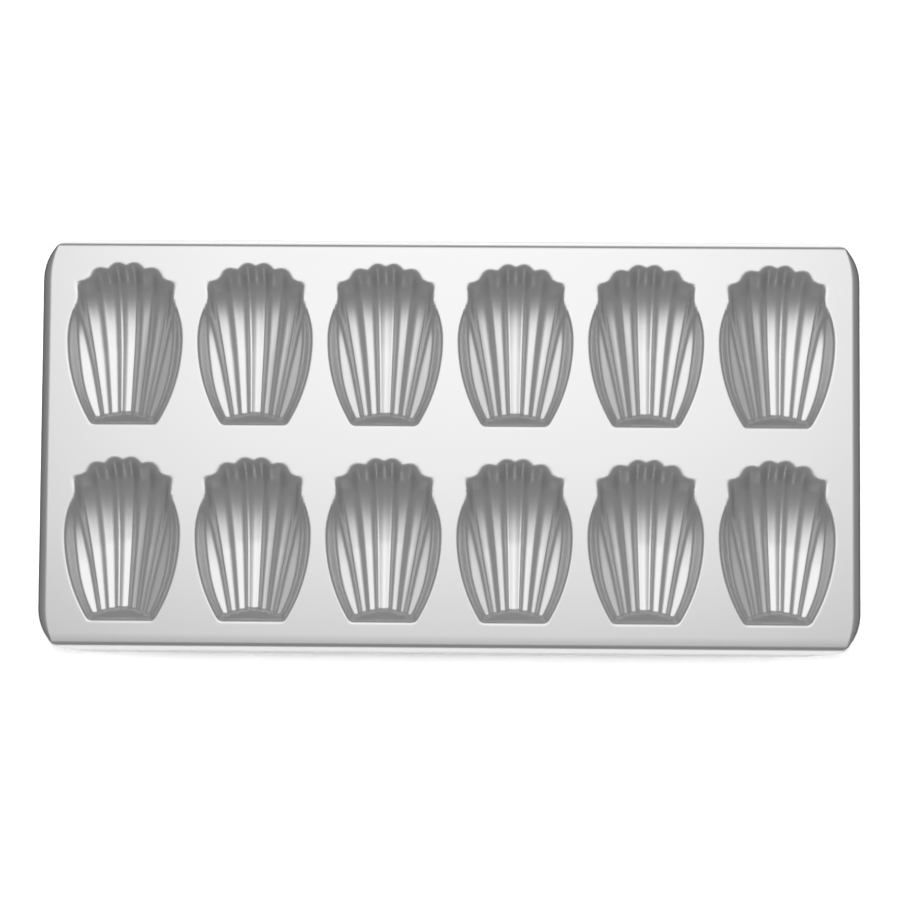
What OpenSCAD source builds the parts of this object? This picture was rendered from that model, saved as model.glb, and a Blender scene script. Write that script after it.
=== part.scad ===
// Madeleine pan: one pressed steel sheet with twelve scallop shells in two rows of six.
// The two long sides are bent down as flanges and the short ends are plain cut edges.

/* [Sheet] */
// Width of the sheet across its two cut ends
pan_w = 397; // [393:1:420]
// Distance from the centre of the pan to the start of each long bend
deck_half = 95.2; // [94:0.2:110]
// Thickness of the steel
sheet_t = 0.8; // [0.5:0.1:1.2]
// Radius of the corners of the flat blank
corner_r = 26; // [18:1:30]

/* [Flange] */
// Inner radius of the long bends
bend_r = 2.0; // [1:0.5:3]
// Angle that the flanges are bent down by
bend_a = 57; // [40:1:75]
// Straight length of a flange below its bend
flange_l = 6.4; // [4:0.2:9]

/* [Shells] */
// Number of shells in a row
shells_x = 6; // [1:1:6]
// Number of rows
rows_y = 2; // [1:1:2]
// Spacing of the shells along a row
pitch_x = 63.5; // [60:0.5:66]
// Spacing of the rows
pitch_y = 95.25; // [90:0.25:96]
// Greatest depth of a shell below the deck
shell_d = 15; // [12:0.5:17]
// Distance from the middle of a shell to its straight hinge edge
hinge_y = 38.6; // [36:0.2:40]
// Half length of the straight hinge edge, before its corners
hinge_half = 13.6; // [12:0.2:15]
// Half width of a shell at its widest
shell_half = 27.3; // [26:0.1:28]
// Distance from the middle of a shell to its widest place, towards the scallops
widest_y = 3; // [0:0.5:6]
// Slope of the straight hinge wall, from level
hinge_wall_a = 60; // [50:1:68]
// Plan width of the wall beside the outermost flutes
side_wall_w = 4.3; // [3:0.1:5.5]

// Shift of the rows of shells towards their scalloped ends
row_shift = 0.85; // [0:0.05:1.5]

/* [Hidden] */

// Each flute line runs from the hinge edge to the scalloped end. Crests end in the
// notches between scallops, and valleys end at the tips of the scallops.
// Each row: half width at the hinge edge, end of the line [x, y], share of the depth.
FLUTE_LINES = [
    [0, [0, 37.8], 0.96],
    [2.2, [4.2, 39.4], 1],
    [4.2, [8.7, 36.2], 0.885],
    [6.2, [13.2, 37.0], 0.89],
    [8.2, [18.0, 32.0], 0.75],
    [9.6, [22.3, 30.6], 0.74],
    [11.4, [24.2, 18.1], 0.56],
];
// Places of the rows of points along each line, as shares of its length
ROW_SHARES = [0.24, 0.40, 0.53, 0.72, 0.88];
// Place of the deepest point along each line, as a share of its length
deep_share = 0.53;
// Share of the greatest depth that is left at the hinge wall
hinge_share = 0.68;
// Where the outermost lines end, as a rise above the widest place
foot_end_rise = 11.5;
side_end_rise = 14.2;
// Radii of the side of a shell, below and above its widest place
side_low_r = 79;
side_high_r = 38;
bend_steps = 2;
// Rows of points down a flange, as shares of its straight length
FLANGE_SHARES = [0.55, 1];
lines_half = len(FLUTE_LINES) + 2;
cols_shell = 2 * lines_half - 1;
rows_shell = len(ROW_SHARES) + 4;

// Half width of the outline at a height y in a shell
function side_x(y) =
    let (r = y < widest_y ? side_low_r : side_high_r, dy = y - widest_y)
    shell_half - r + sqrt(r * r - dy * dy);

// Depth share along a line, from 0 at the hinge edge to 1 at its end
function depth_share(s) =
    s > deep_share
        ? pow(1 - pow((s - deep_share) / (1 - deep_share), 2.2), 0.9)
        : 1 - (1 - hinge_share) * pow(1 - s / deep_share, 1.3);

// Point on flute line k at share s, from hinge to end
function flute_xy(k, s) =
    let (l = FLUTE_LINES[k])
    [l[0] + (l[1][0] - l[0]) * s, -hinge_y + (l[1][1] + hinge_y) * s];

function flute_point(k, s) =
    let (p = flute_xy(k, s)) [p[0], p[1], -shell_d * FLUTE_LINES[k][2] * depth_share(s)];

// The foot of the side wall, and the side outline itself
foot_depth = 0.47;
function foot_point(s) =
    let (y = -hinge_y + (widest_y + foot_end_rise + hinge_y) * s)
    [side_x(y) - side_wall_w * (1 - 0.45 * pow(s, 6)), y, -shell_d * foot_depth * depth_share(s)];

function side_point(s) =
    let (y = -hinge_y + (widest_y + side_end_rise + hinge_y) * s)
    [side_x(y), y, 0];

// Point in column c of a half shell at row r, with the hinge edge as row 0
function half_point(c, r) =
    let (last = rows_shell - 1)
    c == lines_half - 1 ? side_row(r)
    : let (wall = foot_share(c))
      r == 0 ? hinge_edge(c)
      : r == last ? line_end(c)
      : line_point(c, r == 1 ? wall : r == last - 1 ? 0.975 : ROW_SHARES[r - 2]);

function line_point(c, s) = c < len(FLUTE_LINES) ? flute_point(c, s) : foot_point(s);

// Share of the line's length at which the hinge wall meets the floor
function foot_share(c) =
    let (d = shell_d * hinge_share * (c < len(FLUTE_LINES) ? FLUTE_LINES[c][2] : foot_depth))
    d / tan(hinge_wall_a) / (2 * hinge_y);

function hinge_edge(c) =
    c < len(FLUTE_LINES) ? [FLUTE_LINES[c][0], -hinge_y, 0] : [hinge_half, -hinge_y, 0];

function line_end(c) =
    c < len(FLUTE_LINES) ? [FLUTE_LINES[c][1][0], FLUTE_LINES[c][1][1], 0]
    : [side_x(widest_y + foot_end_rise), widest_y + foot_end_rise, 0];

function side_row(r) =
    let (last = rows_shell - 1)
    r == 0 ? [hinge_half + 1.9, -hinge_y + 0.9, 0]
    : r == 1 ? side_point(0.06)
    : r == last ? side_point(0.87)
    : r == last - 1 ? side_point(0.82)
    : side_point(ROW_SHARES[r - 2] * 0.84);

// Column c of a whole shell, from its left side to its right
function shell_point(c, r) =
    let (h = c - (lines_half - 1), p = half_point(abs(h), r))
    [h < 0 ? -p[0] : p[0], p[1], p[2]];

// The grid of points over the whole sheet. Each shell has a tile of its own in it,
// with one point more on each side, which the next tile shares.
tile_cols = cols_shell + 1;
tile_rows = rows_shell + 1;
edge_rows = bend_steps + len(FLANGE_SHARES);
COLS = shells_x * tile_cols + 2;
ROWS = rows_y * tile_rows + 2 * edge_rows;

neutral_r = bend_r + sheet_t / 2;
outer_r = bend_r + sheet_t;
bend_l = neutral_r * bend_a * PI / 180;
blank_half = deck_half + bend_l + flange_l;

// Half width of the blank at a distance s from its long middle line
function blank_x(s) =
    let (over = max(0, s - (blank_half - corner_r)))
    pan_w / 2 - corner_r + sqrt(max(0, corner_r * corner_r - over * over));

// The side row k of a flange, counted outward from the deck, as [s, y, z]
function flange_row(k) =
    k <= bend_steps
        ? let (a = bend_a * k / bend_steps)
          [deck_half + neutral_r * a * PI / 180, deck_half + outer_r * sin(a), -outer_r * (1 - cos(a))]
        : let (l = flange_l * FLANGE_SHARES[k - bend_steps - 1])
          [deck_half + bend_l + l,
           deck_half + outer_r * sin(bend_a) + l * cos(bend_a),
           -outer_r * (1 - cos(bend_a)) - l * sin(bend_a)];

tile_left = -pitch_x * shells_x / 2;
function tile_low(j) = j == 0 ? -deck_half : row_shift + pitch_y * (j - rows_y / 2);
function tile_high(j) = j == rows_y - 1 ? deck_half : row_shift + pitch_y * (j + 1 - rows_y / 2);

// Place across the sheet of column i where it crosses no shell
function plain_x(i) = i == 0 ? -pan_w / 2 : i == COLS ? pan_w / 2
    : tile_left + pitch_x * (i - 1) / tile_cols;

// Point of the upper face at column i and tile row j
function tile_point(i, j) =
    let (ti = floor((i - 1) / tile_cols), tj = min(rows_y - 1, floor(j / tile_rows)),
         c = i - 1 - ti * tile_cols, r = j - tj * tile_rows,
         y = tile_low(tj) + (tile_high(tj) - tile_low(tj)) * r / tile_rows,
         plain = i == 0 || i == COLS || c == 0 || r == 0 || r == tile_rows)
    plain
        ? let (x = i == 0 ? -blank_x(abs(y)) : i == COLS ? blank_x(abs(y)) : plain_x(i)) [x, y, 0]
        : let (p = shell_point(c - 1, r - 1))
          [tile_left + pitch_x * (ti + 0.5) + p[0], row_shift + pitch_y * (tj + 0.5 - rows_y / 2) + p[1], p[2]];

// Point of the upper face at column i and row j of the whole grid
function top_point(i, j) =
    let (k = max(edge_rows - j, j - (ROWS - edge_rows)))
    k <= 0
        ? tile_point(i, j - edge_rows)
        : let (f = flange_row(k), side = j < edge_rows ? -1 : 1)
          [plain_x(i) * blank_x(f[0]) / (pan_w / 2), side * f[1], f[2]];

TOP = [for (j = [0 : ROWS]) for (i = [0 : COLS]) top_point(i, j)];
function at(i, j) = TOP[j * (COLS + 1) + i];

// The lower face lies one thickness below, measured square to the sheet
function slant(i, j) =
    let (u = at(min(COLS, i + 1), j) - at(max(0, i - 1), j),
         v = at(i, min(ROWS, j + 1)) - at(i, max(0, j - 1)),
         n = cross(u, v))
    norm(n) / n[2];
UNDER = [for (j = [0 : ROWS]) for (i = [0 : COLS])
    let (p = at(i, j))
    [p[0], p[1], max(-shell_d - sheet_t, p[2] - sheet_t * min(2.2, slant(i, j)))]];

function top_i(i, j) = j * (COLS + 1) + i;
function under_i(i, j) = top_i(i, j) + len(TOP);
// Two triangles, whose shared edge leans to the middle of the shell they are in
function split(a, b, c, d, lean) = lean ? [[a, b, c], [a, c, d]] : [[a, b, d], [b, c, d]];
function leans(i, j) = ((i - 1) % tile_cols) < tile_cols / 2;

TOP_FACES = [for (j = [0 : ROWS - 1]) for (i = [0 : COLS - 1])
    each split(top_i(i, j), top_i(i, j + 1), top_i(i + 1, j + 1), top_i(i + 1, j), leans(i, j))];
UNDER_FACES = [for (j = [0 : ROWS - 1]) for (i = [0 : COLS - 1])
    each split(under_i(i, j), under_i(i + 1, j), under_i(i + 1, j + 1), under_i(i, j + 1), leans(i, j))];
EDGE_FACES = concat(
    [for (i = [0 : COLS - 1]) each split(top_i(i, 0), top_i(i + 1, 0), under_i(i + 1, 0), under_i(i, 0), true)],
    [for (i = [0 : COLS - 1])
        each split(top_i(i + 1, ROWS), top_i(i, ROWS), under_i(i, ROWS), under_i(i + 1, ROWS), true)],
    [for (j = [0 : ROWS - 1]) each split(top_i(0, j + 1), top_i(0, j), under_i(0, j), under_i(0, j + 1), true)],
    [for (j = [0 : ROWS - 1])
        each split(top_i(COLS, j), top_i(COLS, j + 1), under_i(COLS, j + 1), under_i(COLS, j), true)]);

// The pan stands on the undersides of its shells
deck_z = shell_d + sheet_t;

module pan_sheet() {
    color("silver")
        translate([0, 0, deck_z])
            polyhedron(points = concat(TOP, UNDER), faces = concat(TOP_FACES, UNDER_FACES, EDGE_FACES));
}

pan_sheet();
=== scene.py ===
"""Looks of the madeleine pan: the pressed sheet with its fluted shells, its coating, and a soft studio."""

import math

import bpy
import numpy as np
from mathutils import Matrix, Vector


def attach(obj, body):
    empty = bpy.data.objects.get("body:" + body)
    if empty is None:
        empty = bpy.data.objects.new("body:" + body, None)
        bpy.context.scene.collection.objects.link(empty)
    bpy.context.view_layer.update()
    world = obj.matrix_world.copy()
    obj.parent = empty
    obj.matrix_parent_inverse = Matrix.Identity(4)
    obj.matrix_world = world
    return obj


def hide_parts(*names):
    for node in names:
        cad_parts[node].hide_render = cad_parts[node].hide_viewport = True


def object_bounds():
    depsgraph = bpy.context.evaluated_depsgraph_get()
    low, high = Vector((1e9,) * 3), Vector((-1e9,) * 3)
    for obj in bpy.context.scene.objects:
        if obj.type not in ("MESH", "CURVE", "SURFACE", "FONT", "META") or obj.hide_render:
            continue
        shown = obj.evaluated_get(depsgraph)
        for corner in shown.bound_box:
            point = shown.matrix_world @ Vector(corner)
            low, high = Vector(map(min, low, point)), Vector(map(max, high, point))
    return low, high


MM = 0.001

# Sheet and flanges
SHEET_T = 0.8 * MM
CORNER_R = 26 * MM
BEND_R = 2.0 * MM
BEND_A = math.radians(69)
FLANGE_L = 7.0 * MM

# Shells
SHELLS_X = 6
ROWS_Y = 2
PITCH_X = 63.5 * MM
PITCH_Y = 95.25 * MM
ROW_SHIFT = 0.85 * MM
SHELL_D = 15 * MM
HINGE_Y = -38.6 * MM
HINGE_WALL = math.tan(math.radians(62))
SIDE_WALL = math.tan(math.radians(60))
SHELL_HALF = 27.3 * MM
WIDEST_Y = 3 * MM
SIDE_LOW_R = 79 * MM
SIDE_HIGH_R = 38 * MM
SIDE_ARC_SHARE = 0.6
MOUTH_R = 3.2 * MM
FOOT_BLEND = 1.6 * MM
HINGE_BLEND = 1.5 * FOOT_BLEND

# Each flute line runs straight from the hinge to the scallops. Crests end in notches, valleys at tips.
# Each row: half width at the hinge, end of the line, share of the greatest depth.
FLUTE_LINES = (
    (0.0, (0.0, 37.8), 0.96),
    (2.2, (4.2, 39.4), 1.0),
    (4.2, (8.7, 36.2), 0.87),
    (6.2, (13.2, 37.0), 0.84),
    (8.2, (18.0, 32.0), 0.72),
    (9.6, (22.0, 30.6), 0.68),
    (11.4, (24.2, 18.1), 0.50),
)
LINE_OVERRUN = 0.02
DEEP_SHARE = 0.5
HINGE_SHARE = 0.63
HINGE_POWER = 1.2
END_WALL_SHARE = 0.93
END_POWER = 2.3
RISER_POWER = 1.6
TREAD_POWER = 1.3
LOBE_DEPTH = 6 * MM
SIDE_RISE = 0.2

# Step over which a slope is taken, and the slopes squared between which the mouth's radius is blended
SLOPE_STEP = 0.15 * MM
MOUTH_SLOPE2_MIN = 0.3
MOUTH_SLOPE2_MAX = 4.5

# Mesh: steps across each stretch of a half shell, and rows along a shell as (end, step)
FLUTE_STEPS = 4
SIDE_FLOOR_STEPS = 4
SIDE_WALL_STEPS = 12
MARGIN_STEPS = 2
ROW_STRETCHES = ((-42.5, 2.5), (-30, 0.62), (22, 1.5), (42.5, 0.57), (47.62, 2.5))
BEND_STEPS = 6
FLANGE_STEPS = 2

# Mesh: the side wall's columns lie from inside the outline to outside it, and neighbours keep a gap
WALL_INSIDE = 5.0 * MM
WALL_OUTSIDE = 2.2 * MM
COLUMN_GAP = 0.6 * MM
COLUMNS_HELD_Y = 41 * MM

# Coating: grey level, roughness, and the grain's noise and height
COATING_GREY = 0.72
COATING_ROUGHNESS = 0.36
GRAIN_SCALE = 2600
GRAIN_DETAIL = 3
GRAIN_STRENGTH = 0.06
GRAIN_HEIGHT = 0.05 * MM

# Studio: the photograph's camera, and levels of the table, the light and the surroundings, in metres
CAMERA_TILT = -3.63
CAMERA_ROLL = -0.83
CAMERA_SPIN = -0.42
CAMERA_OFFSET = (-0.2 * MM, 3.1 * MM, -1199.8 * MM)
CAMERA_LENS = 99.0
CAMERA_SENSOR = 36
CAMERA_REACH = 20
TABLE_GREY = 0.8
TABLE_HALF = 3.0
FLOOR_GAIN = 2.4
SOFTBOX_SIZE = 1.0
SOFTBOX_PLACE = (0, 0.36, 1.0)
SOFTBOX_POWER = 4
SURROUND = 0.27

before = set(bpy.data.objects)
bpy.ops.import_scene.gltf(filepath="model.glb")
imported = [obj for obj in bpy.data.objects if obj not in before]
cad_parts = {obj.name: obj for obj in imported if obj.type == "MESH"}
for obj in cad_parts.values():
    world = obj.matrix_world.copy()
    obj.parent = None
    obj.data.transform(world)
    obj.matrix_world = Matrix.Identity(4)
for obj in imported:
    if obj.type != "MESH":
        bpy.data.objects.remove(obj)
cad_low, cad_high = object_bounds()
PAN_HALF = (cad_high[0] - cad_low[0]) / 2
DECK_Z = cad_high[2]
OUTER_R = BEND_R + SHEET_T
NEUTRAL_R = BEND_R + SHEET_T / 2
BEND_L = NEUTRAL_R * BEND_A
DECK_HALF = (cad_high[1] - cad_low[1]) / 2 - OUTER_R * math.sin(BEND_A) - FLANGE_L * math.cos(BEND_A)
BLANK_HALF = DECK_HALF + BEND_L + FLANGE_L


def side_x(y):
    """Half width of a shell's outline at y, below its last notch."""
    r = np.where(y < WIDEST_Y, SIDE_LOW_R, SIDE_HIGH_R)
    dy = np.clip(y - WIDEST_Y, -SIDE_ARC_SHARE * r, SIDE_ARC_SHARE * r)
    return SHELL_HALF - r + np.sqrt(r * r - dy * dy)


def line_x(k, y):
    """Half distance of flute line k from the middle of its shell at y."""
    start, end, _ = FLUTE_LINES[k]
    share = (y - HINGE_Y) / (end[1] * MM - HINGE_Y)
    return (start + (end[0] - start) * np.clip(share, -LINE_OVERRUN, None)) * MM


def line_depth(k, y):
    """Depth of flute line k below the deck at y. It is negative past the line's end."""
    _, end, depth = FLUTE_LINES[k]
    share = (y - HINGE_Y) / (end[1] * MM - HINGE_Y)
    low = 1 - (1 - HINGE_SHARE) * np.clip(1 - share / DEEP_SHARE, 0, None) ** HINGE_POWER
    left = 1 - END_WALL_SHARE ** END_POWER
    arc = left ** (1 / END_POWER)
    slope = END_WALL_SHARE ** (END_POWER - 1) * left ** (1 / END_POWER - 1)
    reach = END_WALL_SHARE + arc / slope
    q = np.clip(share - DEEP_SHARE, 0, None) / (1 - DEEP_SHARE) * reach
    round_end = (1 - np.minimum(q, END_WALL_SHARE) ** END_POWER) ** (1 / END_POWER)
    high = np.where(q < END_WALL_SHARE, round_end, arc - (q - END_WALL_SHARE) * slope)
    return SHELL_D * depth * np.where(share < DEEP_SHARE, low, high)


def smooth_min(a, b, width):
    """The lower of two heights, with the corner between them rounded over a width."""
    gap = np.clip(1 - np.abs(a - b) / width, 0, None)
    return np.minimum(a, b) - gap * gap * width / 4


def cavity(x, y):
    """Depth of the uncut cavity at (x, y) in a shell, before its mouth is blended into the deck."""
    x = np.abs(x)
    last = len(FLUTE_LINES) - 1
    wall = (side_x(y) - line_x(last, y)) * SIDE_WALL
    xs = [line_x(k, y) for k in range(last + 1)]
    ds = [line_depth(k, y) for k in range(last)]
    ds.append(np.minimum(line_depth(last, y), wall))
    depth = ds[last].copy()
    for k in range(last):
        along = np.clip((x - xs[k]) / (xs[k + 1] - xs[k]), 0, 1)
        valley = ds[k + 1] if k % 2 == 0 else ds[k]
        lobe = np.clip(1 - valley / LOBE_DEPTH, 0, 1)
        if k % 2 == 0:
            rise = along ** TREAD_POWER * (1 - lobe) + (1 - (1 - along) ** 2) * lobe
        else:
            rise = (1 - (1 - along) ** RISER_POWER) * (1 - lobe) + along ** 2 * lobe
        inside = (x >= xs[k]) & (x < xs[k + 1])
        depth = np.where(inside, ds[k] + (ds[k + 1] - ds[k]) * rise, depth)
    side = (side_x(y) - x) * SIDE_WALL
    outside = x >= xs[last]
    floor = depth - (x - xs[last]) * SIDE_RISE
    depth = np.where(outside, smooth_min(floor, side, FOOT_BLEND), depth)
    hinge = (y - HINGE_Y) * HINGE_WALL
    return smooth_min(depth, hinge, HINGE_BLEND)


def hollow(x, y):
    """Depth of the pressed sheet's upper face at (x, y) in a shell, with the mouth rounded into the deck."""
    depth = cavity(x, y)
    slope_x = (cavity(x + SLOPE_STEP, y) - cavity(x - SLOPE_STEP, y)) / (2 * SLOPE_STEP)
    slope_y = (cavity(x, y + SLOPE_STEP) - cavity(x, y - SLOPE_STEP)) / (2 * SLOPE_STEP)
    slope2 = np.clip(slope_x ** 2 + slope_y ** 2, MOUTH_SLOPE2_MIN, MOUTH_SLOPE2_MAX)
    width = MOUTH_R * slope2 / (2 * (1 + slope2 / 4) ** 1.5)
    return -smooth_min(-depth, np.zeros_like(depth), width)


def shell_rows():
    """The y of each row of points along a shell, from one tile edge to the other."""
    rows = [-PITCH_Y / 2]
    for end, step in ROW_STRETCHES:
        start = rows[-1]
        count = 2 * max(1, round((end * MM - start) / (2 * step * MM)))
        rows += [start + (end * MM - start) * (i + 1) / count for i in range(count)]
    rows[-1] = PITCH_Y / 2
    return np.array(rows)


def half_columns(y):
    """The x of each column of points across half a shell, at row y."""
    held = np.clip(y, HINGE_Y, COLUMNS_HELD_Y)
    last = len(FLUTE_LINES) - 1
    stops = [line_x(k, held) for k in range(last + 1)]
    edge = PITCH_X / 2
    foot = np.maximum(side_x(held) - WALL_INSIDE, stops[last] + COLUMN_GAP)
    outer = np.maximum(side_x(held) + WALL_OUTSIDE, stops[last] + 2 * COLUMN_GAP)
    stops += [np.minimum(foot, edge - 2 * COLUMN_GAP), np.minimum(outer, edge - COLUMN_GAP), edge]
    steps = [FLUTE_STEPS] * last + [SIDE_FLOOR_STEPS, SIDE_WALL_STEPS, MARGIN_STEPS]
    xs = [0.0]
    for start, end, count in zip(stops, stops[1:], steps):
        xs += [start + (end - start) * (i + 1) / count for i in range(count)]
    return np.array(xs)


def blank_x(s):
    """Half width of the flat blank at a distance s from its long middle line."""
    over = np.clip(s - (BLANK_HALF - CORNER_R), 0, CORNER_R)
    return PAN_HALF - CORNER_R + np.sqrt(CORNER_R ** 2 - over ** 2)


def deck_grid():
    """Points of the upper face over the deck and its shells, as an array of rows by columns by xyz."""
    ys = shell_rows()
    half = np.array([half_columns(y) for y in ys])
    local = np.concatenate([-half[:, ::-1], half[:, 1:]], axis=1)
    depth = hollow(local, ys[:, None] * np.ones_like(local))
    centres = [(i - (SHELLS_X - 1) / 2) * PITCH_X for i in range(SHELLS_X)]
    xs = np.concatenate([local[:, (0 if i == 0 else 1):] + c for i, c in enumerate(centres)], axis=1)
    zs = np.concatenate([depth[:, (0 if i == 0 else 1):] for i in range(SHELLS_X)], axis=1)
    tiles = []
    for j in range(ROWS_Y):
        y = ys + ROW_SHIFT + (j - (ROWS_Y - 1) / 2) * PITCH_Y
        if j == 0:
            y[0] = -DECK_HALF
        if j == ROWS_Y - 1:
            y[-1] = DECK_HALF
        tile = np.stack([xs, np.repeat(y[:, None], xs.shape[1], 1), -zs], axis=2)
        tiles.append(tile if j == 0 else tile[1:])
    grid = np.concatenate(tiles, axis=0)
    edge = blank_x(np.abs(grid[:, 0, 1]))
    left = np.stack([-edge, grid[:, 0, 1], np.zeros_like(edge)], axis=1)[:, None]
    right = np.stack([edge, grid[:, 0, 1], np.zeros_like(edge)], axis=1)[:, None]
    near_l = (left + grid[:, :1]) / 2
    near_r = (right + grid[:, -1:]) / 2
    return np.concatenate([left, near_l, grid, near_r, right], axis=1)


def flange_rows(deck_row, side):
    """Points of one flange's upper face, outward from the deck's edge row."""
    shares = deck_row[:, 0] / blank_x(DECK_HALF)
    rows = []
    for i in range(1, BEND_STEPS + FLANGE_STEPS + 1):
        a = BEND_A * min(i, BEND_STEPS) / BEND_STEPS
        run = FLANGE_L * max(0, i - BEND_STEPS) / FLANGE_STEPS
        y = DECK_HALF + OUTER_R * math.sin(a) + run * math.cos(a)
        z = -OUTER_R * (1 - math.cos(a)) - run * math.sin(a)
        x = shares * blank_x(DECK_HALF + NEUTRAL_R * a + run)
        rows.append(np.stack([x, np.full_like(x, side * y), np.full_like(x, z)], axis=1))
    return rows


def sheet_grid():
    """Points of the whole upper face: front flange, deck and rear flange."""
    deck = deck_grid()
    front = flange_rows(deck[0], -1)[::-1]
    rear = flange_rows(deck[-1], 1)
    return np.concatenate([np.array(front), deck, np.array(rear)], axis=0)


def normals(grid):
    """Unit normal of the grid at each of its points."""
    du = np.gradient(grid, axis=1)
    dv = np.gradient(grid, axis=0)
    n = np.cross(du, dv)
    return n / np.linalg.norm(n, axis=2, keepdims=True)


def edge_faces(upper, lower):
    """Faces that close the cut edge. The upper row has two steps for each step of the lower one."""
    return [(upper[2 * i], lower[i], lower[i + 1], upper[2 * i + 2], upper[2 * i + 1])
            for i in range(len(lower) - 1)]


def grid_faces(number, up):
    """Quads over a grid of point numbers, wound to face up or down."""
    corners = [number[:-1, :-1], number[:-1, 1:], number[1:, 1:], number[1:, :-1]]
    quads = np.stack(corners, axis=2).reshape(-1, 4)
    return (quads if up else quads[:, ::-1]).tolist()


def pan_mesh():
    """The whole sheet as one closed mesh. Its underside has half as many steps each way."""
    top = sheet_grid()
    under = (top - normals(top) * SHEET_T)[::2, ::2]
    under[..., 2] = np.maximum(under[..., 2], -DECK_Z)
    upper = np.arange(top.shape[0] * top.shape[1]).reshape(top.shape[:2])
    lower = np.arange(under.shape[0] * under.shape[1]).reshape(under.shape[:2]) + upper.size
    edges = edge_faces(upper[0], lower[0]) + edge_faces(upper[-1][::-1], lower[-1][::-1])
    edges += edge_faces(upper[::-1, 0], lower[::-1, 0]) + edge_faces(upper[:, -1], lower[:, -1])
    points = np.concatenate([top.reshape(-1, 3), under.reshape(-1, 3)])
    points[:, 2] += DECK_Z
    mesh = bpy.data.meshes.new("pan")
    mesh.from_pydata(points.tolist(), [], grid_faces(upper, True) + grid_faces(lower, False) + edges)
    smooth = np.ones(len(mesh.polygons), dtype=bool)
    smooth[-len(edges):] = False
    mesh.polygons.foreach_set("use_smooth", smooth)
    return mesh


def principled(name, grey, metallic, roughness):
    """A new grey material with its Principled shader set to plain values."""
    mat = bpy.data.materials.new(name)
    mat.use_nodes = True
    shader = mat.node_tree.nodes["Principled BSDF"]
    shader.inputs["Base Color"].default_value = (grey, grey, grey, 1)
    shader.inputs["Metallic"].default_value = metallic
    shader.inputs["Roughness"].default_value = roughness
    return mat


def coating():
    """Satin silver coating: metallic and finely grained."""
    mat = principled("nonstick_silver", COATING_GREY, 1.0, COATING_ROUGHNESS)
    nodes = mat.node_tree.nodes
    links = mat.node_tree.links
    place = nodes.new("ShaderNodeTexCoord")
    grain = nodes.new("ShaderNodeTexNoise")
    grain.inputs["Scale"].default_value = GRAIN_SCALE
    grain.inputs["Detail"].default_value = GRAIN_DETAIL
    links.new(place.outputs["Object"], grain.inputs["Vector"])
    bump = nodes.new("ShaderNodeBump")
    bump.inputs["Strength"].default_value = GRAIN_STRENGTH
    bump.inputs["Distance"].default_value = GRAIN_HEIGHT
    links.new(grain.outputs["Fac"], bump.inputs["Height"])
    links.new(bump.outputs["Normal"], nodes["Principled BSDF"].inputs["Normal"])
    return mat


def table_top():
    """White table: to the camera and in reflections it is lit up to white, and keeps the pan's shadow."""
    mat = principled("table_top", TABLE_GREY, 0.0, 1.0)
    nodes = mat.node_tree.nodes
    links = mat.node_tree.links
    path = nodes.new("ShaderNodeLightPath")
    seen = nodes.new("ShaderNodeMath")
    seen.operation = "MAXIMUM"
    links.new(path.outputs["Is Camera Ray"], seen.inputs[0])
    links.new(path.outputs["Is Glossy Ray"], seen.inputs[1])
    colour = nodes.new("ShaderNodeMix")
    colour.data_type = "RGBA"
    colour.inputs["A"].default_value = (TABLE_GREY, TABLE_GREY, TABLE_GREY, 1)
    colour.inputs["B"].default_value = (FLOOR_GAIN, FLOOR_GAIN, FLOOR_GAIN, 1)
    links.new(seen.outputs["Value"], colour.inputs["Factor"])
    diffuse = nodes.new("ShaderNodeBsdfDiffuse")
    links.new(colour.outputs["Result"], diffuse.inputs["Color"])
    links.new(diffuse.outputs["BSDF"], nodes["Material Output"].inputs["Surface"])
    nodes.remove(nodes["Principled BSDF"])
    return mat


def add_floor():
    """The table under the pan, one wide flat square."""
    mesh = bpy.data.meshes.new("floor")
    corners = [(-TABLE_HALF, -TABLE_HALF, 0), (TABLE_HALF, -TABLE_HALF, 0),
               (TABLE_HALF, TABLE_HALF, 0), (-TABLE_HALF, TABLE_HALF, 0)]
    mesh.from_pydata(corners, [], [(0, 1, 2, 3)])
    floor = bpy.data.objects.new("floor", mesh)
    bpy.context.collection.objects.link(floor)
    mesh.materials.append(table_top())


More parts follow.
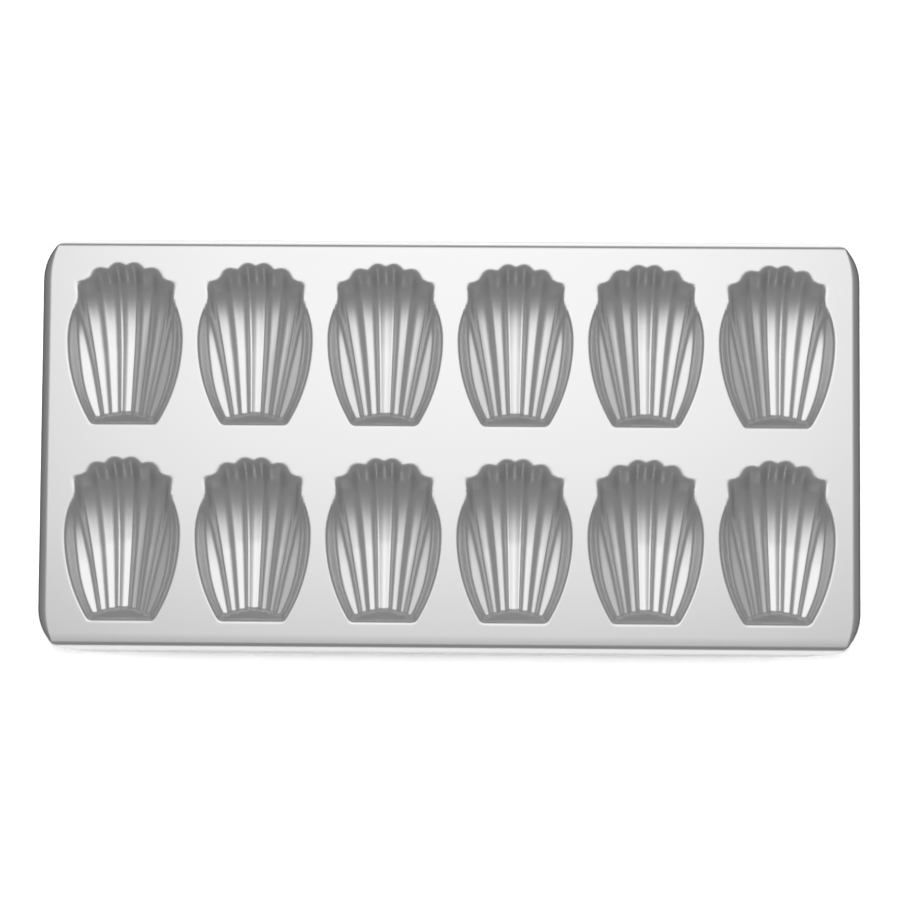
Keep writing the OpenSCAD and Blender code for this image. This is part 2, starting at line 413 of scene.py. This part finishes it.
def add_softbox():
    """One wide soft light overhead, centred behind the pan."""
    light = bpy.data.lights.new("softbox", "AREA")
    light.shape = "RECTANGLE"
    light.size = SOFTBOX_SIZE
    light.size_y = SOFTBOX_SIZE
    light.energy = SOFTBOX_POWER
    piece = bpy.data.objects.new("softbox", light)
    piece.location = SOFTBOX_PLACE
    piece.visible_camera = False
    bpy.context.collection.objects.link(piece)


def set_world():
    """Grey surroundings, white where the camera looks past the table."""
    world = bpy.data.worlds.new("studio")
    world.use_nodes = True
    bpy.context.scene.world = world
    nodes = world.node_tree.nodes
    links = world.node_tree.links
    path = nodes.new("ShaderNodeLightPath")
    strength = nodes.new("ShaderNodeMapRange")
    strength.inputs["To Min"].default_value = SURROUND
    strength.inputs["To Max"].default_value = 1.0
    links.new(path.outputs["Is Camera Ray"], strength.inputs["Value"])
    nodes["Background"].inputs["Color"].default_value = (1, 1, 1, 1)
    links.new(strength.outputs["Result"], nodes["Background"].inputs["Strength"])


def add_camera():
    """The photograph's camera, fitted to the edges of the sheet and to the shells."""
    turn = (Matrix.Rotation(math.radians(CAMERA_TILT), 3, "X")
            @ Matrix.Rotation(math.radians(CAMERA_ROLL), 3, "Y")
            @ Matrix.Rotation(math.radians(CAMERA_SPIN), 3, "Z"))
    back = turn.transposed()
    data = bpy.data.cameras.new("camera")
    data.sensor_width = CAMERA_SENSOR
    data.lens = CAMERA_LENS
    data.clip_end = CAMERA_REACH
    piece = bpy.data.objects.new("camera", data)
    place = Vector((0, ROW_SHIFT, DECK_Z)) - back @ Vector(CAMERA_OFFSET)
    piece.matrix_world = Matrix.Translation(place) @ back.to_4x4()
    bpy.context.collection.objects.link(piece)
    bpy.context.scene.camera = piece


def add_pan():
    """The pan itself, in place of the plain solid."""
    pan = bpy.data.objects.new("pan", pan_mesh())
    bpy.context.collection.objects.link(pan)
    pan.data.materials.append(coating())
    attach(pan, "root")
    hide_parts("pan_sheet")


add_pan()
add_floor()
add_softbox()
set_world()
add_camera()
bpy.context.scene.view_settings.view_transform = "Standard"
